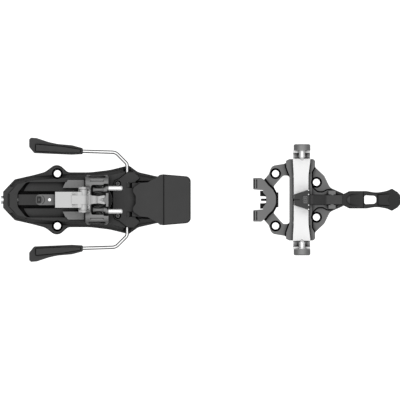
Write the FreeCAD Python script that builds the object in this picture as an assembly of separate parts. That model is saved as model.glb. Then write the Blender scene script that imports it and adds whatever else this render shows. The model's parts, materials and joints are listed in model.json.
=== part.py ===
"""A ski touring pin binding: heel unit with brake and toe unit, mounted as on a ski.

Millimetres. +X points to the ski tip, +Y to the left, +Z up from the ski's top surface.
The origin is on that surface, half-way along the binding, on the ski's centre line.
"""

import FreeCAD
import Part
import math
import os

V = FreeCAD.Vector

# ---- driving dimensions -------------------------------------------------------------------
HALF_LENGTH = 171.8          # from the origin to either end of the binding
RUN = 0.05                   # radial clearance of a shaft in its bore
SCREW_HOLE_R = 3.0           # through hole for a ski screw
SCREW_SINK_R = 4.6           # seat of its head

HEEL_HOLE = (-123.3, 22.5)   # rear pair of the heel base, 45 mm apart
BRAKE_HOLE = (-25.0, 15.0)   # front pair of the heel base, 30 mm apart, under the brake pad
TOE_REAR_HOLE = (64.3, 22.5)
TOE_FRONT_HOLE = (99.5, 15.0)

BASE_Z = 4.0                 # thickness of the heel flange
RIM_Z = 9.5                  # top of the heel base's rim
TRACK_Z = 6.0                # floor that the carriage slides on
CHANNEL_Z = 1.6              # floor of the length screw's channel
TRACK_HALF = 15.2            # half width of the track
GROOVE_HALF = 16.2           # half width of the undercut that holds the carriage down

POST_X = -88.0               # axis of the turning tower
POST_R = 6.0
BOSS_R = 11.9
BOSS_Z = 9.3
NECK_R = 7.2                 # the boss above the base's top, up to the tower
NECK_Z = 12.0
SLIDE_FORWARD = 5.0          # carriage travel towards the tip

SCREW_Z = 4.4                # length screw
SCREW_R = 2.3

TOWER_X = (-98.9, -79.3)
TOWER_HALF = 19.8
TOWER_Z = (12.2, 37.5)
POCKET_Z = 26.0
PIN_Y = 9.85                 # heel pins
PIN_Z = 34.0
PIN_R = 2.0
PIN_TIP_X = -67.1
PIN_FREE_X = -79.2           # where the pins leave their carriers
PIVOT = (-91.0, 8.0)         # upright axle of a heel pin's carrier
LATERAL_Z = 18.0             # height of the lateral release springs
VERTICAL = (-85.5, 31.0)     # x and z of the vertical release springs

RISER_X = -100.8             # axle of the two climbing aids
RISER_Z = 43.5
RISER_R = 1.5

BRAKE_X = -63.3              # tilt axis of the brake
BRAKE_Z = 6.0
WIRE_R = 1.5
HINGE_R = 5.0                # curved shields of the pedal over the wires' bends
COVER_Z = 11.2               # top of the brake cover

TOE_Z = 4.0                  # toe base plate's thickness
GROOVE = 1.2                 # width of the relief round the toe base's raised parts
GROOVE_Z = 1.2               # its floor
WALL_Z = 14.0                # top of the walls that carry the wing axles
WING_PIVOT = (20.0, 9.0)     # y and z of a wing's axle
WING_X = (79.9, 92.7)
TOE_PIN = (86.9, 31.0)       # x and z of a toe pin
TOE_TIP_Y = 33.8
LEVER_X = 113.0              # axle of the lever
LEVER_Z = 9.0


# ---- helpers ------------------------------------------------------------------------------
def place(u, v, plane, at):
    """The point (u, v) of a drawing plane that stands at a given place."""
    if plane == "xy":
        return V(u, v, at)
    if plane == "xz":
        return V(u, at, v)
    return V(at, u, v)


def outline(corners, plane="xy", at=0.0):
    """A closed wire through (u, v, radius) corners, each rounded by its radius."""
    count = len(corners)
    bends = []
    for i, (u, v, radius) in enumerate(corners):
        here = V(u, v, 0)
        before = V(*corners[i - 1][:2], 0) - here
        after = V(*corners[(i + 1) % count][:2], 0) - here
        before.normalize()
        after.normalize()
        half = before.getAngle(after) / 2
        if radius == 0 or half > 1.56:
            bends.append((here, None, here))
            continue
        inward = (before + after).normalize()
        back = radius / math.tan(half)
        middle = here + inward * (radius / math.sin(half) - radius)
        bends.append((here + before * back, middle, here + after * back))
    edges = []
    for i, (start, middle, end) in enumerate(bends):
        if middle:
            arc = [place(p.x, p.y, plane, at) for p in (start, middle, end)]
            edges.append(Part.Arc(*arc).toShape())
        onward = bends[(i + 1) % count][0]
        if end.distanceToPoint(onward) > 1e-6:
            ends = [place(p.x, p.y, plane, at) for p in (end, onward)]
            edges.append(Part.LineSegment(*ends).toShape())
    return Part.Wire(edges)


def prism(corners, low, high, plane="xy"):
    """A drawing made solid between two levels of its plane's normal."""
    along = place(0, 0, plane, high - low)
    return Part.Face(outline(corners, plane, low)).extrude(along)


def both_sides(upper):
    """A whole outline from its left half, which runs from the rear to the front."""
    lower = [(u, -v, r) for u, v, r in reversed(upper) if v > 0]
    return list(upper) + lower


def inset(corners, distance):
    """The outline moved inward by a distance, with the same corners and radii."""
    area = sum(
        corners[i - 1][0] * c[1] - c[0] * corners[i - 1][1] for i, c in enumerate(corners)
    )
    side = 1 if area > 0 else -1
    moved = []
    for i, (u, v, radius) in enumerate(corners):
        before = corners[i - 1]
        after = corners[(i + 1) % len(corners)]
        a = V(u - before[0], v - before[1], 0).normalize()
        b = V(after[0] - u, after[1] - v, 0).normalize()
        normal = V(-a.y - b.y, a.x + b.x, 0) * side
        normal.normalize()
        reach = distance / max(0.3, normal.dot(V(-a.y, a.x, 0) * side))
        moved.append((u + normal.x * reach, v + normal.y * reach, radius))
    return moved


def frustum(corners, low, high, distance):
    """A solid whose side slopes in by a distance between two levels."""
    wires = [outline(corners, "xy", low), outline(inset(corners, distance), "xy", high)]
    return Part.makeLoft(wires, True, True)


def box(x, y, z):
    """A block between two values on each axis."""
    return Part.makeBox(x[1] - x[0], y[1] - y[0], z[1] - z[0], V(x[0], y[0], z[0]))


def rod(start, along, radius):
    """A round bar from a point, along a vector that is as long as the bar."""
    return Part.makeCylinder(radius, V(*along).Length, V(*start), V(*along))


def cone(start, along, first, second):
    """A tapered round bar."""
    return Part.makeCone(first, second, V(*along).Length, V(*start), V(*along))


def mirrored(shape):
    """The same piece on the other side of the ski's centre line."""
    return shape.mirror(V(0, 0, 0), V(0, 1, 0))


def pair(shape):
    """A piece and its mirror image, as two separate solids."""
    return Part.makeCompound([shape, mirrored(shape)])


def twice(shape):
    """A cutter or rib that is there on both sides."""
    return shape.fuse(mirrored(shape))


def spring(start, along, radius, wire, turns):
    """A coil spring with its axis along a vector."""
    length = V(*along).Length - wire
    helix = Part.makeHelix(length / turns, length, radius)
    section = Part.Wire(Part.makeCircle(wire / 2, V(radius, 0, 0), V(0, 1, 0)))
    coil = helix.makePipeShell([section], True, True)
    coil.translate(V(0, 0, wire / 2))
    turn = FreeCAD.Rotation(V(0, 0, 1), V(*along))
    coil.Placement = FreeCAD.Placement(V(*start), turn).multiply(coil.Placement)
    return coil


def hex_socket(start, along, across):
    """A cutter for a hexagon key."""
    radius = across / 2 / math.cos(math.pi / 6)
    points = [V(radius, 0, 0)]
    for i in range(1, 7):
        angle = math.radians(60 * i)
        points.append(V(radius * math.cos(angle), radius * math.sin(angle), 0))
    prism_up = Part.Face(Part.makePolygon(points)).extrude(V(0, 0, V(*along).Length))
    turn = FreeCAD.Rotation(V(0, 0, 1), V(*along))
    prism_up.Placement = FreeCAD.Placement(V(*start), turn)
    return prism_up


def screw_hole(at, top):
    """A cutter for a ski screw's hole and the seat of its head."""
    x, y = at
    through = rod((x, y, -1), (0, 0, top + 1), SCREW_HOLE_R)
    sink = rod((x, y, top - 1.6), (0, 0, 12.0), SCREW_SINK_R)
    return twice(through.fuse(sink))


# ---- heel base ----------------------------------------------------------------------------
HEEL_OUTLINE = both_sides([
    (-170.0, 7.0, 1.5),
    (-159.9, 17.6, 3.0),
    (-144.5, 21.1, 30.0),
    (-133.9, 23.9, 12.0),
    (-123.3, 31.9, 7.0),
    (-114.3, 23.6, 6.0),
    (-95.1, 23.6, 60.0),
    (-78.2, 25.6, 60.0),
    (-61.9, 29.6, 2.2),
    (-54.0, 23.8, 10.0),
    (-38.1, 20.2, 20.0),
    (-17.0, 17.6, 3.0),
])

HEEL_RIM = both_sides([
    (-168.6, 6.2, 1.5),
    (-159.2, 16.2, 4.0),
    (-144.0, 20.0, 30.0),
    (-117.0, 22.0, 30.0),
    (-95.0, 22.2, 60.0),
    (-78.5, 24.2, 40.0),
    (-63.0, 27.6, 2.2),
    (-54.5, 21.8, 10.0),
    (-38.5, 18.8, 2.0),
])


def heel_base_plate():
    """Moulded base: flange with screw ears, sloped rim, carriage track and brake bay."""
    base = prism(HEEL_OUTLINE, 0, BASE_Z - 1.2).fuse(frustum(HEEL_OUTLINE, BASE_Z - 1.2, BASE_Z, 1.0))
    base = base.fuse(frustum(HEEL_RIM, BASE_Z - 0.1, RIM_Z, 3.2))
    wall = both_sides([(-170.0, 6.4, 1.2), (-164.0, 12.0, 2.0), (-158.0, 12.0, 0)])
    base = base.fuse(frustum(wall, BASE_Z - 0.1, 8.8, 0.9))
    track = both_sides([(-157.5, 6.0, 6.0), (-150.0, TRACK_HALF, 5.0), (-86.6, TRACK_HALF, 1.0)])
    base = base.cut(prism(track, TRACK_Z, RIM_Z + 1))
    front = POST_X + SLIDE_FORWARD
    sweep = prism(both_sides([(-100.0, 12.5, 0), (front, 12.5, 0)]), TRACK_Z, RIM_Z + 1)
    base = base.cut(sweep.fuse(rod((front, 0, TRACK_Z), (0, 0, 6), 12.5)))
    base = base.cut(box((-151.0, -86.6), (-GROOVE_HALF, GROOVE_HALF), (TRACK_Z, 8.3)))
    base = base.cut(box((-157.0, -71.0), (-7.4, 7.4), (CHANNEL_Z, TRACK_Z + 1)))
    crescent = rod((-139.0, 0, 2.4), (0, 0, 8), 19.0).cut(rod((-134.0, 0, 0), (0, 0, 12), 19.6))
    behind = prism(track, 2.4, RIM_Z + 1).common(crescent)
    base = base.cut(behind.cut(box((-160.0, -157.0), (-5.4, 5.4), (0, 12))))
    base = base.cut(rod((-172, 0, SCREW_Z), (20, 0, 0), SCREW_R + RUN))
    nub = box((-HALF_LENGTH, -169.8), (2.5, 3.3), (3.2, 5.6))
    base = base.fuse(twice(nub))
    base = base.cut(box((-165.2, -164.2), (-5.0, 5.0), (RIM_Z - 0.6, RIM_Z + 1)))
    base = base.cut(brake_bay())
    base = base.cut(screw_hole(HEEL_HOLE, BASE_Z))
    return base.cut(screw_hole(BRAKE_HOLE, 2.8)).removeSplitter()


def brake_bay():
    """What is cut from the base for the brake wires, their springs and the pedal."""
    bay = box((-61.0, -10.0), (-16.2, 16.2), (2.8, RIM_Z + 4))
    bay = bay.fuse(box((-36.0, -10.0), (-25.0, 25.0), (2.8, RIM_Z + 4)))
    slot = box((BRAKE_X - WIRE_R - 0.1, BRAKE_X + WIRE_R + 0.1), (10.0, 32.0), (BRAKE_Z, 14))
    slot = slot.fuse(rod((BRAKE_X, 10, BRAKE_Z), (0, 22, 0), WIRE_R + 0.1))
    slot = slot.fuse(box((BRAKE_X - 3.2, BRAKE_X + 3.2), (24.4, 32.0), (BRAKE_Z - 2.4, 14)))
    coil = rod((BRAKE_X, 10.2, BRAKE_Z), (0, 7.6, 0), 3.9)
    coil = coil.fuse(box((BRAKE_X - 3.9, BRAKE_X + 3.9), (10.2, 17.8), (BRAKE_Z, 14)))
    coil = coil.fuse(rod((BRAKE_X, 10.2, BRAKE_Z), (0, 4.5, 0), HINGE_R + 0.2))
    thread = rod((-71.3, 13.8, 3.0), (0, 0, 12), 1.0)
    return bay.fuse(twice(slot.fuse(coil).fuse(thread)))


def brake_cover():
    """Plate over the wire sockets, with a rib that holds each wire down."""
    shape = both_sides([
        (-75.8, 10.2, 1.0),
        (-74.6, 16.6, 2.5),
        (-70.4, 18.2, 2.0),
        (-63.4, 23.8, 1.5),
        (-57.4, 24.2, 1.5),
        (-51.6, 18.4, 1.0),
        (-55.6, 15.6, 0),
        (-55.6, 9.2, 0),
        (-50.4, 9.2, 0),
    ])
    cover = frustum(shape, RIM_Z, COVER_Z, 0.5)
    rib = box((BRAKE_X - 1.4, BRAKE_X + 1.4), (18.4, 21.2), (BRAKE_Z + WIRE_R + 0.1, RIM_Z))
    cover = cover.fuse(twice(rib))
    cover = cover.cut(rod((POST_X, 0, 0), (0, 0, 20), BOSS_R + 0.7))
    shield = rod((BRAKE_X, 10.2, BRAKE_Z), (0, 4.5, 0), HINGE_R + 0.2)
    shield = shield.fuse(box((BRAKE_X, -50.0), (10.2, 14.7), (0, 14)))
    pocket = rod((-71.3, 13.8, RIM_Z + 0.7), (0, 0, 5), 2.7)
    hole = rod((-71.3, 13.8, RIM_Z - 1), (0, 0, 5), 1.1)
    return cover.cut(twice(pocket.fuse(hole).fuse(shield))).removeSplitter()


def brake_cover_screw():
    """Small screw with a cross recess."""
    low = RIM_Z + 0.7
    head = cone((-71.3, 13.8, low), (0, 0, 1.0), 1.9, 1.7)
    shank = rod((-71.3, 13.8, 3.2), (0, 0, low - 3.2), 0.98)
    cross = box((-72.3, -70.3), (13.5, 14.1), (low + 0.4, low + 3))
    cross = cross.fuse(box((-71.6, -71.0), (12.8, 14.8), (low + 0.4, low + 3)))
    return head.fuse(shank).cut(cross)


# ---- brake --------------------------------------------------------------------------------
def brake_wire():
    """Bent steel arm: paddle, outer run, diagonal, tilt axis and the leg in the pedal."""
    route = [
        (-118.0, 42.2, 0),
        (-73.2, 40.8, 7.0),
        (BRAKE_X, 30.9, 4.0),
        (BRAKE_X, 12.4, 3.0),
        (-38.0, 12.4, 0),
    ]
    edges = []
    last = V(*route[0][:2], BRAKE_Z)
    for i in range(1, len(route) - 1):
        here = V(*route[i][:2], BRAKE_Z)
        before = (V(*route[i - 1][:2], BRAKE_Z) - here).normalize()
        after = (V(*route[i + 1][:2], BRAKE_Z) - here).normalize()
        half = before.getAngle(after) / 2
        radius = route[i][2]
        start = here + before * (radius / math.tan(half))
        end = here + after * (radius / math.tan(half))
        middle = here + (before + after).normalize() * (radius / math.sin(half) - radius)
        edges.append(Part.LineSegment(last, start).toShape())
        edges.append(Part.Arc(start, middle, end).toShape())
        last = end
    edges.append(Part.LineSegment(last, V(*route[-1][:2], BRAKE_Z)).toShape())
    path = Part.Wire(edges)
    first = V(*route[0][:2], BRAKE_Z)
    heading = V(*route[1][:2], BRAKE_Z) - first
    section = Part.Wire(Part.makeCircle(WIRE_R, first, heading))
    return path.makePipeShell([section], True, True)


def brake_paddle(wire):
    """Plastic blade moulded on the arm's rear end, with a ridge and a thinner heel."""
    shape = [
        (-147.5, 45.4, 1.5),
        (-147.5, 52.0, 1.5),
        (-145.9, 53.4, 1.0),
        (-141.1, 53.1, 3.0),
        (-130.8, 49.7, 20.0),
        (-123.2, 48.0, 20.0),
        (-110.6, 46.9, 10.0),
        (-101.4, 44.4, 1.0),
        (-101.4, 39.2, 1.0),
        (-111.0, 38.7, 6.0),
        (-143.2, 40.1, 2.0),
    ]
    blade = prism(shape, 3.4, 8.6)
    ridge = [
        (-142.3, 41.4, 0.4),
        (-142.3, 48.2, 0.8),
        (-119.0, 46.2, 8.0),
        (-103.0, 43.6, 0.8),
        (-103.0, 40.4, 0.8),
        (-112.0, 40.2, 6.0),
    ]
    blade = blade.fuse(frustum(ridge, 8.6, 10.2, 0.7))
    blade = blade.fuse(frustum([(u, v, r) for u, v, r in inset(shape, 1.0)], 2.2, 3.4, 0.01))
    flank = prism([(36.0, 4.4, 0), (38.6, 4.4, 0), (41.3, 10.4, 0), (36.0, 10.4, 0)],
                  -142.0, -100.0, "yz")
    blade = blade.cut(flank)
    return blade.cut(wire).removeSplitter()


PEDAL_REAR = [
    (-55.6, 0.0, 0),
    (-55.9, 3.4, 3.0),
    (-58.2, 6.8, 2.5),
    (-58.2, 10.2, 3.0),
    (-52.0, 14.4, 5.0),
    (-45.6, 15.0, 1.5),
    (-37.6, 19.4, 1.0),
    (-35.2, 21.5, 1.0),
    (-32.2, 21.9, 0),
]


def brake_pedal(wires):
    """Rear half of the heel pad, clipped on the two wire legs."""
    shape = [(u, v, r) for u, v, r in PEDAL_REAR if v > 0]
    pedal = prism(both_sides(shape), 12.3, 15.2)
    grip = box((-54.0, -32.2), (9.4, 15.0), (3.4, 12.3))
    pedal = pedal.fuse(twice(grip))
    pedal = pedal.fuse(box((-50.0, -32.2), (-9.5, 9.5), (9.5, 12.3)))
    shield = rod((BRAKE_X, 10.5, BRAKE_Z), (0, 3.9, 0), HINGE_R)
    shield = shield.cut(rod((BRAKE_X, 10, BRAKE_Z), (0, 5, 0), HINGE_R - 0.8))
    sector = prism([(BRAKE_X, BRAKE_Z, 0), (-48.0, 9.4, 0), (-48.0, 20.0, 0), (-76.0, 20.0, 0),
                    (-76.0, 12.6, 0)], 10, 15, "xz")
    strap = box((-59.0, -53.9), (10.5, 14.4), (9.0, 12.4))
    strap = strap.cut(rod((BRAKE_X, 10, BRAKE_Z), (0, 5, 0), HINGE_R - 0.8))
    pedal = pedal.fuse(twice(shield.common(sector).fuse(strap)))
    return pedal.cut(wires).removeSplitter()


def brake_pad():
    """Front half of the heel pad, which the boot's heel presses down."""
    shape = both_sides([(-32.2, 21.9, 0), (-8.6, 19.9, 4.6)])
    pad = prism(shape, 3.6, 15.2).fuse(frustum(shape, 15.2, 16.2, 0.9))
    hollow = both_sides([(-30.4, 19.8, 1.0), (-10.6, 18.0, 3.0)])
    return pad.cut(prism(hollow, 3.0, 12.4)).removeSplitter()


# ---- carriage and post --------------------------------------------------------------------
def carriage():
    """Slide plate with two rear arms, side tongues, a nut block and the tower's boss."""
    z = (TRACK_Z + 0.1, BOSS_Z)
    arm = prism([
        (-118.6, 10.2, 0),
        (-116.2, 15.0, 0.6),
        (-100.2, 15.0, 0.4),
        (-100.2, 10.2, 0.4),
    ], z[0], RIM_Z + 1.4)
    wing = prism([
        (-118.6, 10.2, 0.4),
        (-114.2, 17.0, 0.8),
        (-100.2, 17.0, 0.4),
        (-100.2, 10.2, 0.4),
    ], RIM_Z + 0.1, RIM_Z + 1.4)
    plate = twice(arm.fuse(wing)).fuse(box((-105.4, -92.0), (-15.0, 15.0), (z[0], 8.6)))
    plate = plate.fuse(box((-101.0, POST_X), (-BOSS_R, BOSS_R), z))
    plate = plate.fuse(rod((POST_X, 0, z[0]), (0, 0, BOSS_Z - z[0]), BOSS_R))
    plate = plate.fuse(rod((POST_X, 0, BOSS_Z - 1), (0, 0, NECK_Z - BOSS_Z + 1), NECK_R))
    tongue = box((-116.0, -92.0), (14.0, GROOVE_HALF - 0.1), (z[0], 8.1))
    plate = plate.fuse(twice(tongue))
    plate = plate.fuse(box((-104.0, -96.0), (-6.0, 6.0), (CHANNEL_Z + 0.3, z[0])))
    plate = plate.cut(rod((-110, 0, SCREW_Z), (40, 0, 0), SCREW_R + RUN))
    plate = plate.cut(rod((POST_X, 0, 6.8), (0, 0, 1.4), 8.0))
    return plate.cut(rod((POST_X, 0, 6.8), (0, 0, 9), POST_R)).removeSplitter()


def length_screw():
    """Adjusting screw along the channel, its head with a hexagon socket at the rear."""
    screw = rod((-HALF_LENGTH + 0.2, 0, SCREW_Z), (79.0, 0, 0), SCREW_R)
    groove = rod((-156.6, 0, SCREW_Z), (1.0, 0, 0), 4).cut(rod((-157, 0, SCREW_Z), (2, 0, 0), 1.7))
    screw = screw.cut(groove)
    return screw.cut(hex_socket((-HALF_LENGTH, 0, SCREW_Z), (2.2, 0, 0), 2.5))


def screw_cover():
    """Channel-shaped strip over the rear of the length screw."""
    cover = box((-157.0, -120.8), (-4.6, 4.6), (CHANNEL_Z, 8.2))
    return cover.cut(box((-158.0, -120.0), (-3.6, 3.6), (CHANNEL_Z - 1, 7.4)))


def screw_clip():
    """Ring in the screw's groove, behind the base's rear wall."""
    ring = rod((-156.55, 0, SCREW_Z), (0.9, 0, 0), 2.75)
    return ring.cut(rod((-157, 0, SCREW_Z), (2, 0, 0), 1.7))


def turret_post():
    """Flanged steel post, clamped in the carriage."""
    post = rod((POST_X, 0, 6.8), (0, 0, 1.4), 8.0)
    post = post.fuse(rod((POST_X, 0, 6.8), (0, 0, 16.2), POST_R))
    return post.cut(rod((POST_X, 0, 16), (0, 0, 8), 2.0)).removeSplitter()


def post_cap():
    """Screw with a broad head that keeps the tower on its post."""
    head = rod((POST_X, 0, 23.0), (0, 0, 1.6), 7.4)
    cap = head.fuse(rod((POST_X, 0, 16.4), (0, 0, 6.6), 1.99))
    return cap.cut(hex_socket((POST_X, 0, 23.4), (0, 0, 2), 4.0))


# ---- tower --------------------------------------------------------------------------------
def tower_housing():
    """Cast housing: rounded shoulders, two pin pockets, post bore and four spring bores."""
    section = [
        (TOWER_HALF, TOWER_Z[0], 0),
        (TOWER_HALF, TOWER_Z[1], 6.5),
        (-TOWER_HALF, TOWER_Z[1], 6.5),
        (-TOWER_HALF, TOWER_Z[0], 0),
    ]
    tower = prism(section, TOWER_X[0], TOWER_X[1], "yz")
    flange = [(-98.5, 21.3, 1.5), (-95.6, 21.3, 0), (-94.6, 20.7, 0), (-83.6, 20.7, 0),
              (-82.6, 21.3, 0), (-79.7, 21.3, 1.5)]
    tower = tower.fuse(prism(both_sides(flange), TOWER_Z[0], 14.4))
    window = box((-94.9, -83.2), (15.6, 22.0), (TOWER_Z[1] - 1.6, TOWER_Z[1] + 1))
    side = box((-96.4, -81.8), (TOWER_HALF - 0.9, TOWER_HALF + 0.7), (12.0, TOWER_Z[1] + 1))
    tower = tower.cut(twice(window.fuse(side)))
    pocket = prism([
        (-94.2, 3.4, 2.0),
        (-94.2, 12.9, 2.0),
        (-81.3, 12.9, 0.6),
        (-81.3, 3.4, 0.6),
    ], POCKET_Z, TOWER_Z[1] + 1)
    slot = box((-83.4, -79.0), (5.8, 13.9), (30.6, TOWER_Z[1] + 1))
    lateral = rod((POST_X, 5.0, LATERAL_Z), (0, 20, 0), 3.6)
    vertical = rod((VERTICAL[0], 11.0, VERTICAL[1]), (0, 12, 0), 3.2)
    seat = rod((*PIVOT, 25.2), (0, 0, 2), 1.4)
    tower = tower.cut(twice(pocket.fuse(slot).fuse(lateral).fuse(vertical).fuse(seat)))
    tower = tower.cut(rod((POST_X, 0, 0), (0, 0, 24), POST_R + RUN))
    tower = tower.cut(rod((POST_X, 0, 22.9), (0, 0, 2.0), 7.6))
    thread = rod((-97.0, 6.0, 33.0), (0, 0, 8), 1.0)
    return tower.cut(twice(thread)).removeSplitter()


def tower_cap():
    """Aluminium top: wide plate with the axle's rails and a neck between the pockets."""
    top = TOWER_Z[1]
    plate = box((-104.8, -94.9), (-10.8, 10.8), (top, top + 1.3))
    neck = prism(both_sides([(-96.0, 5.4, 0), (-93.8, 3.6, 2.0), (-87.5, 3.0, 5.0),
                             (-82.4, 3.9, 0.4)]), top, top + 1.5)
    neck = neck.cut(rod((-79.4, 0, top - 1), (0, 0, 4), 3.6))
    neck = neck.cut(rod((-91.6, -5, top + 6.3), (0, 10, 0), 5.8))
    ramp = prism([(-88.0, top + 2, 0), (-88.0, top + 1.3, 0), (-80.0, top + 0.5, 0),
                  (-80.0, top + 2, 0)], -4, 4, "xz")
    ramp = ramp.fuse(cone((-89.0, 0, top + 1.9), (8.0, 0, -0.5), 0.1, 2.4))
    rail = prism([
        (-104.8, top, 0),
        (-104.8, RISER_Z + 2.0, 1.5),
        (-102.0, RISER_Z + 3.2, 1.5),
        (-98.6, RISER_Z + 3.2, 2.0),
        (-94.9, top + 2.6, 0.6),
        (-94.9, top, 0),
    ], 9.0, 10.8, "xz")
    cap = plate.fuse(neck.cut(ramp)).fuse(twice(rail))
    cap = cap.cut(rod((RISER_X, -12, RISER_Z), (0, 24, 0), RISER_R))
    hole = rod((-97.0, 6.0, top - 1), (0, 0, 4), 1.05)
    seat = rod((-97.0, 6.0, top + 1.3), (0, 0, 4), 2.0)
    return cap.cut(twice(hole.fuse(seat))).removeSplitter()


def tower_cap_screw():
    """Flat-headed screw through the cap."""
    top = TOWER_Z[1] + 1.3
    screw = rod((-97.0, 6.0, 33.2), (0, 0, top - 33.2), 0.98)
    screw = screw.fuse(rod((-97.0, 6.0, top), (0, 0, 0.8), 1.9))
    return screw.cut(hex_socket((-97.0, 6.0, top + 0.3), (0, 0, 2), 1.5))


def pin_carrier(pin):
    """Hourglass-shaped carrier that swings on its upright axle with the heel pin."""
    shape = [
        (-92.6, 6.2, 1.5),
        (-92.6, 10.0, 1.5),
        (-84.0, 10.7, 0),
        (-82.4, 11.2, 0),
        (PIN_FREE_X, 12.0, 0.4),
        (PIN_FREE_X, 7.4, 0.4),
        (-84.0, 6.0, 0.5),
    ]
    body = prism(shape, 31.2, 33.6)
    waist = Part.Wire([
        Part.makePolygon([V(-83.2, 3.0, 0), V(-80.4, 2.7, 0), V(-80.4, 0, 0), V(-92.4, 0, 0),
                          V(-92.4, 3.0, 0)]),
        Part.Arc(V(-92.4, 3.0, 0), V(-87.6, 1.9, 0), V(-83.2, 3.0, 0)).toShape(),
    ])
    spool = Part.Face(waist).revolve(V(0, 0, 0), V(1, 0, 0), 360)
    spool.translate(V(0, PIN_Y - 1.2, PIN_Z))
    end = rod((-81.8, PIN_Y, PIN_Z), (PIN_FREE_X + 81.8, 0, 0), 2.7)
    hub = rod((*PIVOT, POCKET_Z + 0.1), (0, 0, 8.0), 2.4)
    body = body.fuse(hub).fuse(spool).fuse(end).cut(pin)
    return body.cut(rod((*PIVOT, 20), (0, 0, 14.2), 1.4 + RUN)).removeSplitter()


def heel_pin():
    """Polished steel pin with a rounded tip."""
    tip = 0.9
    root = rod((-84.5, PIN_Y, PIN_Z), (PIN_FREE_X + 84.5, 0, 0), PIN_R - 0.3)
    pin = rod((PIN_FREE_X, PIN_Y, PIN_Z), (PIN_TIP_X - tip - PIN_FREE_X, 0, 0), PIN_R).fuse(root)
    end = cone((PIN_TIP_X - tip, PIN_Y, PIN_Z), (tip, 0, 0), PIN_R, PIN_R - 0.7)
    return pin.fuse(end).removeSplitter()


def riser_flap():
    """Silver climbing aid: plate, two ribbed arms, two knuckles and a thin bridge."""
    low = RISER_Z + 0.4
    plate = box((-124.8, -110.6), (-6.8, 6.8), (low, low + 3.1))
    arm = prism([
        (-110.7, low, 0),
        (-110.7, low + 3.1, 0),
        (-108.6, low + 2.2, 0.5),
        (-105.4, low + 3.4, 0.8),
        (-102.0, low + 3.4, 0),
        (-101.5, low, 0),
    ], 3.7, 6.8, "xz")
    knuckle = rod((RISER_X, 3.7, RISER_Z), (0, 5.0, 0), 3.5)
    bridge = box((-110.7, RISER_X), (-3.8, 3.8), (RISER_Z + 3.2, RISER_Z + 4.1))
    shell = rod((RISER_X, -3.8, RISER_Z), (0, 7.6, 0), 4.1)
    shell = shell.cut(rod((RISER_X, -4, RISER_Z), (0, 8, 0), 3.1))
    front = prism([(RISER_X, RISER_Z, 0), (-94.0, RISER_Z + 6.5, 0), (-94.0, 52.0, 0),
                   (RISER_X, 52.0, 0)], -4, 4, "xz")
    flap = plate.fuse(twice(arm.fuse(knuckle))).fuse(bridge).fuse(shell.common(front))
    return flap.cut(rod((RISER_X, -12, RISER_Z), (0, 24, 0), RISER_R + RUN)).removeSplitter()


def riser_bar():
    """Long dark climbing aid under the flap, with a grooved thumb end."""
    z = (RISER_Z - 4.2, RISER_Z + 0.0)
    bar = prism(both_sides([(-141.5, 3.2, 2.4), (-138.6, 4.6, 2.0), (-105.6, 4.6, 0.6)]), z[0], z[1])
    root = box((-106.0, RISER_X), (-3.4, 3.4), (z[0] + 2.0, z[1]))
    bar = bar.fuse(root).fuse(rod((RISER_X, -3.4, RISER_Z), (0, 6.8, 0), 2.9))
    grip = box((-140.2, -137.2), (-2.6, 2.6), (z[1] - 0.8, z[1] + 1))
    grip = grip.cut(box((-139.6, -137.8), (-1.2, 1.2), (0, 60)))
    line = rod((-138.6, 0, z[1] - 0.4), (0, 0, 2), 4.9).cut(rod((-138.6, 0, 0), (0, 0, 60), 4.3))
    line = line.common(box((-137.0, -130.0), (-3.6, 3.6), (0, 60)))
    bar = bar.cut(grip).cut(line)
    bar = bar.cut(rod((-129.6, 0, z[1] - 1.2), (0, 0, 2), 1.3))
    return bar.cut(rod((RISER_X, -12, RISER_Z), (0, 24, 0), RISER_R + RUN)).removeSplitter()


def release_screw(x, z, inner, outer, radius):
    """Plug screw that closes a spring bore and sets the spring's load."""
    plug = rod((x, inner, z), (0, outer - inner, 0), radius - RUN)
    return plug.cut(hex_socket((x, outer + 0.1, z), (0, -2.0, 0), 2.5))


# ---- toe base -----------------------------------------------------------------------------
TOE_OUTLINE = both_sides([
    (57.0, 9.0, 3.0),
    (54.2, 17.0, 0.6),
    (58.4, 21.8, 3.0),
    (61.0, 29.2, 5.0),
    (72.3, 31.0, 2.5),
    (76.4, 35.0, 0.8),
    (96.9, 35.0, 2.0),
    (98.4, 33.3, 1.2),
    (98.3, 28.0, 2.5),
    (106.2, 20.6, 6.0),
    (111.2, 10.4, 6.0),
    (122.6, 5.4, 1.0),
])

TOE_WINDOW = both_sides([
    (65.6, 5.8, 0),
    (62.6, 11.4, 1.6),
    (68.3, 18.0, 5.0),
    (71.0, 20.8, 2.2),
    (75.2, 20.8, 2.4),
    (77.3, 17.6, 1.5),
])

RECEIVER = both_sides([
    (53.5, 8.2, 0),
    (45.0, 8.9, 1.0),
    (45.0, 18.8, 0.8),
    (52.0, 18.8, 0.8),
    (54.2, 17.3, 0.6),
    (57.9, 12.5, 6.0),
    (61.8, 9.0, 6.0),
    (64.6, 3.6, 8.0),
])


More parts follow.
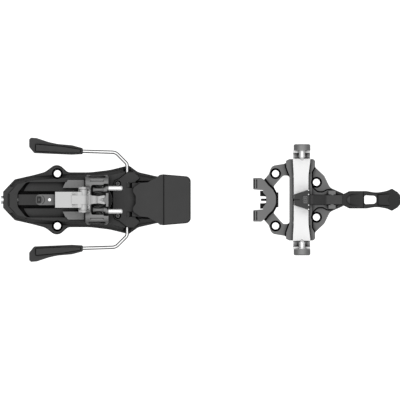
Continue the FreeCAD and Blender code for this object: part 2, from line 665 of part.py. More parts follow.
def toe_base_plate():
    """Machined base: plate with a window, two cross walls, centre rib and lever lugs."""
    base = prism(TOE_OUTLINE, 0, TOE_Z)
    rear = [
        (73.2, 33.6, 1.0),
        (76.2, 35.0, 0.8),
        (79.2, 35.0, 0),
        (79.2, -35.0, 0),
        (76.2, -35.0, 0.8),
        (73.2, -33.6, 1.0),
        (73.6, -28.0, 4.0),
        (76.2, -21.0, 4.0),
        (76.2, 21.0, 4.0),
        (73.6, 28.0, 4.0),
    ]
    front = [
        (94.1, 35.0, 0),
        (96.9, 35.0, 2.0),
        (98.3, 33.2, 1.2),
        (98.0, 28.6, 2.0),
        (95.4, 24.0, 3.0),
        (95.4, -24.0, 3.0),
        (98.0, -28.6, 2.0),
        (98.3, -33.2, 1.2),
        (96.9, -35.0, 2.0),
        (94.1, -35.0, 0),
    ]
    narrow = box((92.9, 94.6), (-22.0, 22.0), (TOE_Z, WALL_Z))
    rib = both_sides([(95.0, 11.5, 0), (96.6, 9.6, 2.5), (100.1, 6.3, 4.0), (104.9, 6.1, 4.0),
                      (108.7, 8.0, 3.0), (113.5, 8.3, 3.0), (121.6, 5.0, 1.0)])
    for foot in (rear, front, rib):
        base = base.cut(prism(inset(foot, -GROOVE), GROOVE_Z, TOE_Z + 1))
    base = base.cut(box((94.0, 96.4), (-28.0, 28.0), (GROOVE_Z, TOE_Z + 1)))
    for foot in (rear, front):
        base = base.fuse(prism(foot, GROOVE_Z, WALL_Z))
    base = base.fuse(narrow).fuse(box((92.9, 95.4), (-28.0, 28.0), (GROOVE_Z, TOE_Z)))
    base = base.fuse(prism(rib, GROOVE_Z, 5.6))
    seat = prism(inset(RECEIVER, -1.8), GROOVE_Z, TOE_Z + 1).cut(prism(RECEIVER, 0, TOE_Z + 2))
    base = base.cut(seat.common(box((54.4, 70.0), (-20.0, 20.0), (0, 10))))
    lug = prism([
        (109.4, 5.0, 0),
        (109.4, 12.4, 0.8),
        (116.2, 12.4, 0.8),
        (116.2, 5.0, 0),
    ], 4.6, 7.7, "xz")
    base = base.fuse(twice(lug))
    base = base.cut(prism(TOE_WINDOW, -1, TOE_Z + 1))
    base = base.cut(box((79.2, 92.9), (-40.0, 40.0), (2.4, TOE_Z + 1)))
    axle = rod((76.9, WING_PIVOT[0], WING_PIVOT[1]), (17.5, 0, 0), 2.0)
    base = base.cut(twice(axle))
    base = base.cut(rod((LEVER_X, -12, LEVER_Z), (0, 24, 0), 2.0))
    base = base.cut(box((96.0, 130.0), (-4.5, 4.5), (TOE_Z, 20)))
    base = base.cut(box((90.0, 98.0), (-4.5, 4.5), (9.5, 20)))
    for hole in (TOE_REAR_HOLE, TOE_FRONT_HOLE):
        base = base.cut(screw_hole(hole, TOE_Z))
    thread = rod((57.6, 10.5, 0.0), (0, 0, 6), 1.3)
    return base.cut(twice(thread)).removeSplitter()


def crampon_receiver():
    """Two hooked blocks on a crescent that take a ski crampon's cross bar."""
    low = TOE_Z
    body = prism(RECEIVER, low, 11.4)
    mouth = prism(both_sides([(50.0, 7.8, 0), (53.5, 7.8, 0), (53.5, 6.2, 0.8), (56.4, 3.0, 1.0)]),
                  low - 1, 13)
    body = body.cut(mouth)
    body = body.cut(box((50.6, 67.0), (-7.9, 7.9), (low - 1, 5.7)))
    hook = rod((48.0, -20, 7.4), (0, 40, 0), 2.3)
    hook = hook.fuse(box((44.0, 48.0), (-20, 20), (5.1, 9.7)))
    body = body.cut(hook)
    for x in (46.0, 48.1):
        body = body.cut(twice(box((x - 0.5, x + 0.5), (9.8, 17.6), (10.2, 13))))
    screw = rod((57.6, 10.5, 0), (0, 0, 8.4), 1.3)
    return body.cut(twice(screw)).removeSplitter()


def crampon_clip():
    """Black spring clip in the receiver: two shoulders, a tongue and a front tab."""
    low = TOE_Z
    clip = box((56.2, 65.4), (-6.3, 6.3), (low, 5.6))
    clip = clip.fuse(box((65.0, 66.8), (-6.4, 6.4), (low, 7.6)))
    shoulder = prism([(51.0, 7.7, 0.4), (56.6, 7.7, 0), (56.6, 2.6, 0), (54.2, 3.0, 0),
                      (51.0, 3.0, 0.4)], low, 5.6)
    tongue = prism(both_sides([(51.6, 1.0, 0.9), (57.0, 1.0, 0)]), low, 5.6)
    return clip.fuse(twice(shoulder)).fuse(tongue).removeSplitter()


def receiver_screw():
    """Countersunk screw from under the toe base into the receiver."""
    return rod((57.6, 10.5, 0.2), (0, 0, 8.0), 1.3)


# ---- wings and toe pins -------------------------------------------------------------------
def wing():
    """Forged arm on its axle: inner arm under the lever cap, slope and upright end."""
    section = [
        (1.2, 13.3, 0),
        (9.6, 13.3, 0.6),
        (10.2, 4.9, 0.5),
        (13.0, 4.9, 0.5),
        (15.6, 8.0, 0.5),
        (16.0, 5.2, 1.0),
        (20.0, 4.4, 3.0),
        (24.6, 5.6, 2.0),
        (42.4, 14.6, 1.5),
        (42.4, 29.0, 0),
        (40.3, 29.0, 0.6),
        (40.3, 21.2, 0),
        (36.2, 21.2, 0),
        (35.4, 22.6, 1.0),
        (10.0, 17.0, 20.0),
        (1.2, 16.6, 0),
    ]
    arm = prism(section, 79.2, 94.0, "yz")
    plan = [
        (WING_X[0], -1, 0),
        (WING_X[0], 21.0, 20.0),
        (79.2, 32.5, 6.0),
        (79.2, 44.0, 0),
        (94.0, 44.0, 0),
        (94.0, 33.5, 6.0),
        (92.5, 21.0, 20.0),
        (92.5, -1, 0),
    ]
    arm = arm.common(prism(plan, 0, 60))
    lower = box((78.0, 80.2), (-1, 36.5), (0, WALL_Z + 0.6))
    lower = lower.fuse(box((92.4, 95.0), (-1, 36.5), (0, WALL_Z + 0.6)))
    arm = arm.cut(lower)
    arm = arm.cut(rod((70, WING_PIVOT[0], WING_PIVOT[1]), (40, 0, 0), 2.0 + RUN))
    collar = rod((TOE_PIN[0], 38.0, TOE_PIN[1]), (0, 5, 0), 3.4)
    return arm.cut(collar).removeSplitter()


def pin_head():
    """Round head that carries the toe pin on the outer face of the wing."""
    x, z = TOE_PIN
    head = rod((x, 42.4, z), (0, 4.5, 0), 7.15)
    head = head.fuse(cone((x, 46.9, z), (0, 0.8, 0), 7.15, 6.2))
    foot = prism([(80.4, 16.0, 1.0), (80.4, 28.0, 0), (93.4, 28.0, 0), (93.4, 16.0, 1.0)],
                 42.4, 45.6, "xz")
    head = head.fuse(foot)
    slot = box((x - 7.3, x + 7.3), (45.8, 49.0), (z - 0.9, z + 0.9))
    head = head.cut(slot.common(rod((x, 45.8, z), (0, 3, 0), 3.6)))
    return head.cut(rod((x, 40, z), (0, 6.0, 0), 2.0)).removeSplitter()


def toe_pin():
    """Hardened pin: threaded root in its head, collar, cylinder and conical tip."""
    x, z = TOE_PIN
    pin = rod((x, 42.4, z), (0, 3.6, 0), 2.0)
    pin = pin.fuse(rod((x, 41.5, z), (0, 0.9, 0), 3.3))
    pin = pin.fuse(rod((x, 36.8, z), (0, 4.7, 0), 2.4))
    pin = pin.fuse(cone((x, 36.8, z), (0, TOE_TIP_Y - 36.8, 0), 2.4, 0.7))
    return pin.removeSplitter()


def guide_insert():
    """Black insert in the step under the pin that guides the boot's socket."""
    shape = [(80.4, 36.3, 0.6), (80.4, 40.2, 0.6), (93.4, 40.2, 0.6), (93.4, 36.3, 0.6)]
    insert = prism(shape, 21.2, 24.6)
    for x in (83.0, 90.8):
        insert = insert.cut(box((x - 0.7, x + 0.7), (35.0, 41.0), (23.8, 26)))
    return insert.cut(rod((TOE_PIN[0], 34.0, 27.0), (0, 8, 0), 3.4))


# ---- lever --------------------------------------------------------------------------------
def lever_arm():
    """Bar from the cap over the cross wall to its axle and on into the handle."""
    profile = [
        (91.0, 24.0, 0),
        (96.0, 22.6, 3.0),
        (108.0, 13.6, 4.0),
        (123.0, 11.2, 3.0),
        (139.0, 11.2, 0),
        (139.0, 6.6, 0),
        (120.0, 6.6, 3.0),
        (113.0, 5.8, 3.0),
        (107.5, 8.4, 3.0),
        (97.0, 17.6, 3.0),
        (91.0, 20.0, 0),
    ]
    arm = prism(profile, -4.0, 4.0, "xz")
    return arm.cut(rod((LEVER_X, -12, LEVER_Z), (0, 24, 0), 2.0 + RUN)).removeSplitter()


def arrow_cap():
    """Trapezoid cap over the wings' inner ends, with a slit and a ribbed window."""
    shape = both_sides([(80.0, 4.6, 0.8), (93.9, 9.2, 0.8)])
    cap = frustum(shape, 22.8, 26.6, 0.6)
    cap = cap.fuse(box((88.0, 93.2), (-5.6, 5.6), (21.8, 22.8)))
    cap = cap.cut(box((90.9, 94.0), (-4.0, 4.0), (19.0, 24.3)))
    cap = cap.cut(box((80.4, 85.0), (-0.25, 0.25), (25.8, 28)))
    window = box((87.5, 92.1), (-3.5, 3.5), (26.2, 28))
    for i in range(4):
        y = -2.6 + 1.7 * i
        window = window.cut(box((88.0, 91.6), (y, y + 0.8), (25, 26.55)))
    cap = cap.cut(window)
    for y in (4.6, 8.2):
        cap = cap.cut(twice(rod((92.6, y, 20), (0, 0, 8), 0.45)))
    return cap.removeSplitter()


def cap_rivet(y):
    """Small rivet at the cap's wide end."""
    return rod((92.6, y, 23.0), (0, 0, 3.9), 0.45)


def lever_handle(arm):
    """Moulded thumb lever with a dished pocket, a window and a flared tip."""
    shape = both_sides([
        (121.6, 4.6, 1.0),
        (124.0, 5.6, 6.0),
        (127.6, 7.5, 4.0),
        (142.5, 7.5, 12.0),
        (151.0, 6.0, 22.0),
        (160.0, 7.6, 16.0),
        (164.3, 9.6, 1.6),
        (169.2, 6.6, 2.4),
        (171.8, 3.6, 2.4),
    ])
    handle = prism(shape, 4.6, 11.6).fuse(frustum(shape, 11.6, 12.6, 0.8))
    window = both_sides([(140.5, 3.9, 1.6), (150.9, 3.3, 2.6)])
    handle = handle.cut(prism(window, 0, 20))
    dish = prism(both_sides([(125.2, 1.8, 1.6), (128.6, 5.0, 4.5), (137.2, 5.0, 0)]), 10, 14)
    wedge = prism([(124.0, 10.5, 0), (137.3, 12.7, 0), (137.3, 14.0, 0), (124.0, 14.0, 0)],
                  -6, 6, "xz")
    handle = handle.cut(dish.common(wedge))
    ramp = prism([(119.0, 11.3, 0), (128.0, 12.6, 0), (128.0, 15.0, 0), (119.0, 15.0, 0)],
                 -9, 9, "xz")
    handle = handle.cut(ramp)
    under = prism([
        (118.0, 3.0, 0),
        (124.0, 3.0, 0),
        (138.0, 4.6, 0),
        (150.0, 4.6, 0),
        (173.0, 7.2, 0),
        (173.0, 3.0, 0),
    ], -12, 12, "xz")
    handle = handle.cut(under)
    tip = prism([(158.0, 13.0, 0), (173.0, 9.6, 0), (173.0, 14.0, 0)], -12, 12, "xz")
    handle = handle.cut(tip)
    edges = [(152.6, 4.2, 0), (163.6, 4.9, 0)]
    facet = frustum(both_sides([(162.0, 0.5, 0), (163.6, 4.6, 0), (169.6, 0.4, 0)]), 10.0, 14.0, -1.0)
    panel = frustum(both_sides(edges), 11.8, 13.0, -1.2)
    handle = handle.cut(panel.cut(facet))
    joint = box((139.5, 140.1), (-9, 9), (11.9, 14))
    handle = handle.cut(joint)
    handle = handle.cut(box((119.0, 139.0), (-4.0, 4.0), (6.6, 11.2)))
    return handle.cut(arm).removeSplitter()


# ---- assembly -----------------------------------------------------------------------------
def heel_unit():
    """Every piece of the heel unit, by name."""
    wire = brake_wire()
    pin = heel_pin()
    lateral = (POST_X, LATERAL_Z)
    plunger = rod((POST_X, POST_R + 0.1, LATERAL_Z), (0, 2.7, 0), 3.5)
    coil = spring((BRAKE_X, 14.4, BRAKE_Z), (0, 3.3, 0), 2.8, 0.9, 3)
    pieces = {
        "heel_base_plate": heel_base_plate(),
        "brake_cover": brake_cover(),
        "brake_cover_screws": pair(brake_cover_screw()),
        "brake_springs": pair(coil),
        "carriage": carriage(),
        "length_screw": length_screw(),
        "screw_clip": screw_clip(),
        "screw_cover": screw_cover(),
        "turret_post": turret_post(),
        "post_cap": post_cap(),
        "tower_housing": tower_housing(),
        "tower_cap": tower_cap(),
        "tower_cap_screws": pair(tower_cap_screw()),
        "pin_axles": pair(rod((*PIVOT, 25.3), (0, 0, 8.6), 1.4)),
        "vertical_springs": pair(spring((VERTICAL[0], 13.2, VERTICAL[1]), (0, 3.2, 0), 2.4, 0.8, 3)),
        "lateral_plungers": pair(plunger),
        "lateral_springs": pair(spring((POST_X, 8.9, LATERAL_Z), (0, 6.4, 0), 2.7, 1.0, 4)),
        "riser_axle": rod((RISER_X, -11.0, RISER_Z), (0, 22.0, 0), RISER_R),
        "riser_flap": riser_flap(),
        "riser_bar": riser_bar(),
        "riser_magnet": rod((-129.6, 0, RISER_Z - 1.2), (0, 0, 1.3), 1.3),
        "brake_pedal": brake_pedal(twice(wire)),
        "brake_pad": brake_pad(),
    }
    handed = {
        "pin_carrier": pin_carrier(pin),
        "heel_pin": pin,
        "vertical_screw": release_screw(*VERTICAL, 16.6, 18.6, 3.2),
        "lateral_screw": release_screw(*lateral, 15.5, 19.6, 3.6),
        "brake_wire": wire,
        "brake_paddle": brake_paddle(wire),
    }
    return pieces, handed


def toe_unit():
    """Every piece of the toe unit, by name."""
    arm = lever_arm()
    rivets = [cap_rivet(y) for y in (-8.2, -4.6, 4.6, 8.2)]
    springs = []
    for x in (83.0, 89.4):
        springs.append(spring((x, -9.4, 6.4), (0, 18.8, 0), 2.3, 0.9, 9))
    wing_axle = rod((77.0, WING_PIVOT[0], WING_PIVOT[1]), (17.3, 0, 0), 2.0)
    pieces = {
        "toe_base_plate": toe_base_plate(),
        "crampon_receiver": crampon_receiver(),
        "crampon_clip": crampon_clip(),
        "receiver_screws": pair(receiver_screw()),
        "wing_axles": pair(wing_axle),
        "toe_springs": Part.makeCompound(springs),
        "lever_axle": rod((LEVER_X, -7.6, LEVER_Z), (0, 15.2, 0), 2.0),
        "toe_pad": box((79.6, 92.5), (-9.0, 9.0), (2.4, 3.4)),
        "lever_arm": arm,
        "lever_handle": lever_handle(arm),
        "arrow_cap": arrow_cap(),
        "cap_rivets": Part.makeCompound(rivets),
    }
    handed = {
        "wing": wing(),
        "pin_head": pin_head(),
        "toe_pin": toe_pin(),
        "guide_insert": guide_insert(),
    }
    return pieces, handed


def main():
    """Write one file per piece."""
    os.makedirs("parts", exist_ok=True)
    for unit in (heel_unit, toe_unit):
        pieces, handed = unit()
        for name, shape in handed.items():
            pieces[name + "_left"] = shape
            pieces[name + "_right"] = mirrored(shape)
        for name, shape in pieces.items():
            if not shape.isValid():
                print("not valid:", name)
            shape.exportStep("parts/" + name + ".step")


main()
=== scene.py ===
# Looks of the ski touring binding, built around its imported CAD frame. Metres, +X to the ski tip.
import bpy
import json
import math
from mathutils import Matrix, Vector


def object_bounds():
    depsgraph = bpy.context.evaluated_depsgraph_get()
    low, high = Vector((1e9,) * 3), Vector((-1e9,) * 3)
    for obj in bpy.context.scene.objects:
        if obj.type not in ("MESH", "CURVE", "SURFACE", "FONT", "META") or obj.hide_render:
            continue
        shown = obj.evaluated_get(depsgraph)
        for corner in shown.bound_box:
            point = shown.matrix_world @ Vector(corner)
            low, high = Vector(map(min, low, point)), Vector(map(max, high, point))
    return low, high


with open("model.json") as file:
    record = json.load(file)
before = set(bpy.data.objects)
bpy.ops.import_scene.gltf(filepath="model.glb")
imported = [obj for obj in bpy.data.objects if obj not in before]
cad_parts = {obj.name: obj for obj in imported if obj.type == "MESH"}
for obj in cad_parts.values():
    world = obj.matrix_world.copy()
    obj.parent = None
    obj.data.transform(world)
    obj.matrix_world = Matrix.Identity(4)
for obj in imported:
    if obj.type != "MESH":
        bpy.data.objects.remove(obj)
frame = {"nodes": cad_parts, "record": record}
cad_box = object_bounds()
MM = 0.001
FLOOR_Z = -0.12              # clear of the ski brake with its arms down
FLOOR_SIZE = 6.0
CAMERA_UP = 14.0             # far enough away for a plan view with hardly any perspective
CAMERA_SHIFT = (-0.65 * MM, -0.2 * MM)
FRAME_WIDTH = 400 / 399.5    # the picture's width over the object's length
PAINTED_SHADE_BLACK = 0.001                # tone of the painted shade on slopes, at the bottom of gaps and inside holes


# ---- node helpers -------------------------------------------------------------------------
class Nodes:
    """A new material's node tree, with short ways to add and join nodes."""

    def __init__(self, name):
        self.material = bpy.data.materials.new(name)
        self.material.use_nodes = True
        self.tree = self.material.node_tree
        self.shader = self.tree.nodes["Principled BSDF"]
        place = self.add("ShaderNodeTexCoord")
        self.place = place.outputs["Object"]

    def add(self, kind, **values):
        node = self.tree.nodes.new(kind)
        for key, value in values.items():
            setattr(node, key, value)
        return node

    def join(self, start, end):
        self.tree.links.new(start, end)

    def fit(self, node, slot, value):
        """Give an input a constant or another node's output."""
        target = node.inputs[slot]
        if isinstance(value, bpy.types.NodeSocket):
            self.join(value, target)
        else:
            target.default_value = value

    def noise(self, scale, detail=2.0, rough=0.5, vector=None):
        node = self.add("ShaderNodeTexNoise")
        self.join(vector or self.place, node.inputs["Vector"])
        node.inputs["Scale"].default_value = scale
        node.inputs["Detail"].default_value = detail
        node.inputs["Roughness"].default_value = rough
        return node.outputs["Fac"]

    def spread(self, value, low, high, start=0.0, end=1.0):
        """A value moved from one range to another, held inside it."""
        node = self.add("ShaderNodeMapRange")
        for i, number in enumerate((value, low, high, start, end)):
            self.fit(node, i, number)
        return node.outputs["Result"]

    def math(self, operation, a, b=0.0):
        node = self.add("ShaderNodeMath", operation=operation)
        self.fit(node, 0, a)
        self.fit(node, 1, b)
        return node.outputs[0]

    def mix(self, amount, a, b):
        node = self.add("ShaderNodeMix", data_type="RGBA")
        self.fit(node, 0, amount)
        for slot, value in ((6, a), (7, b)):
            if isinstance(value, (int, float)):
                value = (value, value, value, 1.0)
            elif isinstance(value, tuple):
                value = (*value[:3], 1.0)
            self.fit(node, slot, value)
        return node.outputs[2]

    def stretched(self, x, y, z):
        """Object coordinates drawn out along an axis, for brushed marks."""
        node = self.add("ShaderNodeMapping")
        self.join(self.place, node.inputs["Vector"])
        node.inputs["Scale"].default_value = (x, y, z)
        return node.outputs["Vector"]

    def near(self, spots):
        """1 inside upright cylinders round (x, |y|, radius) spots in millimetres, 0 beyond."""
        split = self.add("ShaderNodeSeparateXYZ")
        self.join(self.place, split.inputs[0])
        across = self.math("ABSOLUTE", split.outputs["Y"])
        total = 0.0
        for x, y, radius in spots:
            dx = self.math("SUBTRACT", split.outputs["X"], x * MM)
            dy = self.math("SUBTRACT", across, y * MM)
            away = self.math("SQRT", self.math(
                "ADD", self.math("MULTIPLY", dx, dx), self.math("MULTIPLY", dy, dy)))
            inside = self.spread(away, radius * MM, (radius + 0.1) * MM, 1.0, 0.0)
            total = self.math("MAXIMUM", inside, total)
        return total

    def patch(self, x, half):
        """1 inside the block between two x values and |y| < half in millimetres, 0 outside."""
        split = self.add("ShaderNodeSeparateXYZ")
        self.join(self.place, split.inputs[0])
        across = self.math("ABSOLUTE", split.outputs["Y"])
        inside = self.math("LESS_THAN", across, half * MM)
        after = self.math("GREATER_THAN", split.outputs["X"], x[0] * MM)
        before = self.math("LESS_THAN", split.outputs["X"], x[1] * MM)
        return self.math("MULTIPLY", self.math("MULTIPLY", inside, after), before)

    def edges(self, radius):
        """1 near a convex or concave edge, 0 on open faces."""
        soft = self.add("ShaderNodeBevel", samples=4)
        soft.inputs["Radius"].default_value = radius
        plain = self.add("ShaderNodeNewGeometry")
        dot = self.add("ShaderNodeVectorMath", operation="DOT_PRODUCT")
        self.join(soft.outputs["Normal"], dot.inputs[0])
        self.join(plain.outputs["Normal"], dot.inputs[1])
        return self.spread(dot.outputs["Value"], 0.995, 0.8)

    def painted_gap_shade(self, distance):
        """Painted shade from ambient occlusion: 1 in the open, falling to 0 in gaps and corners.
        """
        node = self.add("ShaderNodeAmbientOcclusion", samples=8)
        node.inputs["Distance"].default_value = distance
        return node.outputs["AO"]

    def slope(self, shade_on_slopes, low=0.3, high=0.97):
        """Painted shade by facing: a factor that is 1 on level faces, falls to the given value on
        slopes and is 0.8 on walls.
        """
        place = self.add("ShaderNodeTexCoord")
        split = self.add("ShaderNodeSeparateXYZ")
        self.join(place.outputs["Normal"], split.inputs[0])
        level = self.math("ABSOLUTE", split.outputs["Z"])
        slopes = self.spread(level, low, high, shade_on_slopes, 1.0)
        return self.math("MAXIMUM", slopes, self.spread(level, 0.06, 0.2, 0.8, 0.0))

    def lit(self, slope, gaps, holes=()):
        """Painted light and shade: 1 on open upward faces, near 0 on slopes, in gaps and inside
        the given holes.
        """
        value = self.math("MULTIPLY", slope, gaps)
        if holes:
            value = self.math("MULTIPLY", value, self.math("SUBTRACT", 1.0, self.near(holes)))
        return value

    def bump(self, height, distance, strength=1.0):
        node = self.add("ShaderNodeBump")
        self.join(height, node.inputs["Height"])
        node.inputs["Distance"].default_value = distance
        node.inputs["Strength"].default_value = strength
        self.join(node.outputs["Normal"], self.shader.inputs["Normal"])

    def set(self, **values):
        """Shader inputs by name, with _ for a space."""
        for key, value in values.items():
            slot = key.replace("_", " ")
            if isinstance(value, tuple):
                value = (*value[:3], 1.0)
            self.fit(self.shader, slot, value)


# ---- materials ----------------------------------------------------------------------------
def moulded_plastic(name, shade, grain=1.0, edge=0.5, gloss=0.52, shade_on_slopes=0.12, holes=(),
                    painted_shadow=None):
    """Dark moulded plastic: spark-eroded grain, flow mottling, and painted shade on flanks, in
    gaps, along edges and round given spots.
    """
    n = Nodes(name)
    mottle = n.noise(60, 3)
    fine = n.noise(2600 / grain, 2, 0.6)
    flow = n.noise(9, 2)
    tone = n.mix(n.spread(mottle, 0.3, 0.7), shade * 0.93, shade * 1.07)
    tone = n.mix(n.spread(flow, 0.35, 0.65, 0, 0.3), tone, shade * 1.15)
    # painted shadow: a darker tone inside the given spots
    if painted_shadow:
        tone = n.mix(n.near(painted_shadow[0]), tone, painted_shadow[1])
    # painted shade: edges darkened to a fifth of the tone as dark outlines
    tone = n.mix(n.math("MULTIPLY", n.edges(0.5 * MM), edge), tone, shade * 0.2)
    # painted shade on slopes, in gaps and inside holes, which also takes the specular away
    lit = n.lit(n.slope(shade_on_slopes), n.spread(n.painted_gap_shade(6 * MM), 0.3, 0.92, 0.06, 1.0), holes)
    n.set(Base_Color=n.mix(lit, PAINTED_SHADE_BLACK, tone), Specular_IOR_Level=n.math("MULTIPLY", lit, 0.35))
    n.set(Roughness=n.spread(fine, 0.3, 0.7, gloss - 0.08, gloss + 0.1))
    n.bump(fine, 0.03 * MM, 0.7)
    return n.material


def blasted_metal(name, shade, edge_wear_and_shade_tone, metal=0.3, shade_on_slopes=0.2, holes=(), edge_wear_and_shade_mix=0.6, top=0.93,
                  label=None, painted_shadow=None):
    """Anodised alloy with a bead-blasted surface; edges rubbed lighter where the edge tone is
    above the face tone and painted dark as shade where it is below; painted shade on slopes, in
    gaps and inside holes.
    """
    n = Nodes(name)
    fine = n.noise(3200, 2, 0.7)
    cloud = n.noise(35, 3)
    tone = n.mix(n.spread(cloud, 0.3, 0.7), shade * 0.94, shade * 1.06)
    # painted shadow: a darker tone inside the given spots
    if painted_shadow:
        tone = n.mix(n.near(painted_shadow[0]), tone, painted_shadow[1])
    # edge tone: rubbed wear where it is lighter than the face, painted shade outline where it is
    # darker
    tone = n.mix(n.math("MULTIPLY", n.edges(0.35 * MM), edge_wear_and_shade_mix), tone, edge_wear_and_shade_tone)
    if label:
        tone = n.mix(n.patch(*label), tone, n.mix(n.spread(fine, 0.4, 0.6), 0.05, 0.2))
    # painted shade in gaps, on slopes and inside holes, which also takes the specular away
    gaps = n.spread(n.painted_gap_shade(5 * MM), 0.35, 0.88, 0.04, 1.0)
    lit = n.lit(n.slope(shade_on_slopes, 0.35, top), gaps, holes)
    n.set(Base_Color=n.mix(lit, PAINTED_SHADE_BLACK, tone), Specular_IOR_Level=n.math("MULTIPLY", lit, 0.5))
    n.set(Roughness=n.spread(fine, 0.3, 0.7, 0.42, 0.6), Metallic=metal)
    n.bump(fine, 0.025 * MM, 0.8)
    return n.material


def satin_silver(name, shade, along=(1, 14, 14), metal=0.3, shade_on_slopes=0.35):
    """Silver alloy with fine brushed marks, small scuffs, bright edges, and painted shade on
    slopes and in gaps.
    """
    n = Nodes(name)
    marks = n.noise(420, 3, 0.6, n.stretched(*along))
    cloud = n.noise(28, 2)
    tone = n.mix(n.spread(marks, 0.35, 0.65), shade * 0.95, min(1.0, shade * 1.04))
    tone = n.mix(n.spread(cloud, 0.35, 0.65, 0, 0.5), tone, shade * 0.94)
    tone = n.mix(n.math("MULTIPLY", n.edges(0.4 * MM), 0.8), tone, min(1.0, shade * 1.25))
    # painted shade on slopes and in gaps, which also takes the specular away
    lit = n.lit(n.slope(shade_on_slopes, 0.2, 0.9), n.spread(n.painted_gap_shade(3 * MM), 0.15, 0.85, 0.1, 1.0))
    n.set(Base_Color=n.mix(lit, 2 * PAINTED_SHADE_BLACK, tone))
    n.set(Specular_IOR_Level=n.math("MULTIPLY", lit, 0.5))
    n.set(Roughness=n.spread(marks, 0.3, 0.7, 0.34, 0.5), Metallic=metal)
    n.bump(marks, 0.012 * MM, 0.6)
    return n.material


def polished_steel(name, shade=0.95, rough=0.2, along=(1, 20, 20), shade_on_slopes=0.04, flank=(0.25, 0.75)):
    """Drawn and polished steel with faint lengthwise scratches and painted shade on its flanks and
    in gaps.
    """
    n = Nodes(name)
    marks = n.noise(600, 2, 0.6, n.stretched(*along))
    tone = n.mix(n.spread(marks, 0.35, 0.65), shade * 0.93, shade)
    # painted shade on the flanks and in gaps, which also takes the specular away
    lit = n.lit(n.slope(shade_on_slopes, *flank), n.spread(n.painted_gap_shade(2 * MM), 0.1, 0.7, 0.2, 1.0))
    n.set(Base_Color=n.mix(lit, 2 * PAINTED_SHADE_BLACK, tone))
    n.set(Specular_IOR_Level=n.math("MULTIPLY", lit, 0.5))
    n.set(Roughness=n.spread(marks, 0.3, 0.7, rough, rough + 0.1), Metallic=0.6)
    n.bump(marks, 0.006 * MM, 0.5)
    return n.material


def paper_floor():
    """Back-lit matt white sheet with a very faint paper tooth."""
    n = Nodes("paper_floor")
    tooth = n.noise(900, 2)
    n.set(Base_Color=n.mix(n.spread(tooth, 0.3, 0.7), 0.3, 0.33), Roughness=0.95)
    n.set(Specular_IOR_Level=0.0, Emission_Color=(1, 1, 1), Emission_Strength=0.93)
    n.bump(tooth, 0.02 * MM, 0.2)
    return n.material


# Upright cylinders on the object for painted shade and painted shadow: x, |y| and radius in
# millimetres.
# painted shade inside the screw holes, countersinks and cover pockets
HEEL_HOLE_SHADE = [(-123.3, 22.5, 4.7)]
TOE_HOLE_SHADE = [(64.3, 22.5, 4.7), (99.5, 15.0, 4.7)]
COVER_POCKET_SHADE = [(-71.3, 13.8, 2.75)]
# painted shadows round the bar's root and round the post's boss
BAR_ROOT_SHADOW = [(-139.2, 0.0, 3.6)]
POST_BOSS_SHADOW = [(-88.0, 0.0, 12.8)]
MATERIALS = {
    "base_plastic": moulded_plastic("base_plastic", 0.027, holes=HEEL_HOLE_SHADE),
    "brake_plastic": moulded_plastic("brake_plastic", 0.026, gloss=0.5),
    "toe_metal": blasted_metal("toe_metal", 0.15, 0.2, holes=TOE_HOLE_SHADE),
    "tower_metal": blasted_metal("tower_metal", 0.21, 0.34),
    "silver_metal": satin_silver("silver_metal", 0.52),
    "wing_metal": satin_silver("wing_metal", 0.93, (14, 1, 14), 0.1, 0.5),
    "bar_plastic": moulded_plastic("bar_plastic", 0.15, edge=0.4, painted_shadow=(BAR_ROOT_SHADOW, 0.075)),
    "steel": polished_steel("steel", 0.88),
    "wire_steel": polished_steel("wire_steel", 0.85, flank=(0.84, 0.96)),
    "spring_steel": polished_steel("spring_steel", 0.12, 0.35, (12, 1, 12)),
    "screw_steel": blasted_metal("screw_steel", 0.1, 0.3, 0.6),
    "carrier_black": blasted_metal("carrier_black", 0.2, 0.2, 0.5, 0.02, top=0.995, edge_wear_and_shade_mix=0.0),
    "head_metal": blasted_metal("head_metal", 0.24, 0.55, 0.6, 0.3),
    # edge tone below the face tone: painted dark outlines along the edges
    "lever_metal": blasted_metal("lever_metal", 0.03, 0.012, 0.0, 0.45),
    "lever_plastic": moulded_plastic("lever_plastic", 0.009, gloss=0.46),
    "pad_rubber": moulded_plastic("pad_rubber", 0.06, grain=2.0, gloss=0.7),
}
GUIDE = blasted_metal("guide_black", 0.2, 0.2, 0.5, 0.02, top=0.995, edge_wear_and_shade_mix=0.0)
BY_NODE = {
    "brake_cover": moulded_plastic("cover_plastic", 0.024, holes=COVER_POCKET_SHADE),
    "brake_pedal": moulded_plastic("pedal_plastic", 0.029, gloss=0.5),
    "brake_pad": moulded_plastic("brake_pad_plastic", 0.028, gloss=0.5),
    # a darker copy of the silver, as painted shade on the cap
    "tower_cap": satin_silver("cap_silver_painted_shade", 0.44),
    "carriage": blasted_metal("carriage_metal", 0.22, 0.34, painted_shadow=(POST_BOSS_SHADOW, 0.03)),
    # edge tone below the face tone: painted dark outlines along the edges
    "arrow_cap": blasted_metal("arrow_metal", 0.019, 0.01, 0.0, 0.45, label=((87.5, 92.1), 3.5)),
    "guide_insert_left": GUIDE,
    "guide_insert_right": GUIDE,
    "crampon_clip": moulded_plastic("clip_plastic", 0.004, gloss=0.6),
}


# ---- CAD nodes ----------------------------------------------------------------------------
EDGE = {"heel_base_plate": 0.5, "toe_base_plate": 0.45, "brake_pad": 0.5, "brake_pedal": 0.5,
        "wing_left": 0.45, "wing_right": 0.45, "lever_handle": 0.5, "tower_housing": 0.5,
        "brake_paddle_left": 0.6, "brake_paddle_right": 0.6, "pin_head_left": 1.1,
        "pin_head_right": 1.1, "tower_cap": 0.35, "riser_flap": 0.35}


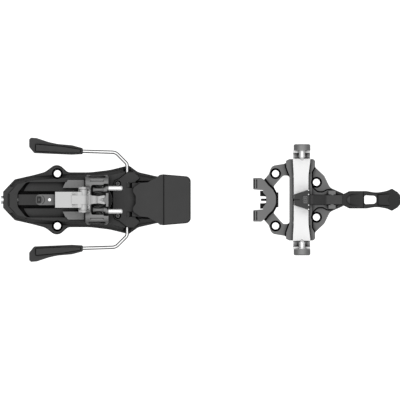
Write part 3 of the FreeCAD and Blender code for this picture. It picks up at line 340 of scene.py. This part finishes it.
def soften(piece, width):
    """Break a CAD piece's sharp edges, as casting, moulding and deburring do."""
    weld = piece.modifiers.new("weld", "WELD")
    weld.merge_threshold = 0.002 * MM
    bevel = piece.modifiers.new("bevel", "BEVEL")
    bevel.width = width * MM
    bevel.segments = 2
    bevel.limit_method = "ANGLE"
    bevel.angle_limit = math.radians(32)
    bevel.use_clamp_overlap = True
    piece.modifiers.new("normals", "WEIGHTED_NORMAL").keep_sharp = False


def dress_frame():
    """Give every CAD node its material and softened edges."""
    slots = {s["node"]: s["material_slot"] for s in frame["record"]["subparts"]}
    for name, piece in frame["nodes"].items():
        piece.data.materials.clear()
        piece.data.materials.append(BY_NODE.get(name, MATERIALS.get(slots[name])))
        soften(piece, EDGE.get(name, 0.2))


# ---- stage --------------------------------------------------------------------------------
def studio_world():
    """Sky that is bright overhead and dark at the horizon, as under a large soft box."""
    world = bpy.data.worlds.new("studio")
    bpy.context.scene.world = world
    world.use_nodes = True
    tree = world.node_tree
    where = tree.nodes.new("ShaderNodeTexCoord")
    split = tree.nodes.new("ShaderNodeSeparateXYZ")
    ramp = tree.nodes.new("ShaderNodeValToRGB")
    tree.links.new(where.outputs["Generated"], split.inputs[0])
    tree.links.new(split.outputs["Z"], ramp.inputs["Fac"])
    for element, position, shade in zip(ramp.color_ramp.elements, (0.0, 0.95), (0.05, 1.0)):
        element.position = position
        element.color = (shade, shade, shade, 1)
    background = tree.nodes["Background"]
    tree.links.new(ramp.outputs["Color"], background.inputs["Color"])
    background.inputs["Strength"].default_value = 1.08


def stage():
    """Pale floor, soft light from above and a camera that looks straight down."""
    low, high = cad_box
    middle = (low + high) / 2
    bpy.ops.mesh.primitive_plane_add(size=FLOOR_SIZE, location=(middle.x, middle.y, FLOOR_Z))
    floor = bpy.context.object
    floor.name = "floor"
    floor.data.materials.append(paper_floor())
    studio_world()

    for name, place, size, power in (
        ("key", (middle.x - 0.25, 0.35, 1.3), 1.4, 4.0),
        ("fill", (middle.x + 0.5, -0.5, 1.2), 1.2, 2.0),
    ):
        light = bpy.data.lights.new(name, "AREA")
        light.size = size
        light.energy = power
        lamp = bpy.data.objects.new(name, light)
        bpy.context.collection.objects.link(lamp)
        lamp.location = place
        lamp.rotation_euler = (middle - Vector(place)).to_track_quat("-Z", "Y").to_euler()

    camera = bpy.data.cameras.new("camera")
    eye = bpy.data.objects.new("camera", camera)
    bpy.context.collection.objects.link(eye)
    camera.sensor_width = 36.0
    camera.lens = camera.sensor_width * CAMERA_UP / ((high.x - low.x) * FRAME_WIDTH)
    eye.location = (middle.x + CAMERA_SHIFT[0], middle.y + CAMERA_SHIFT[1], CAMERA_UP)
    camera.clip_start = 0.1
    camera.clip_end = 100.0
    bpy.context.scene.camera = eye
    bpy.context.scene.view_settings.view_transform = "Standard"


stage()
dress_frame()
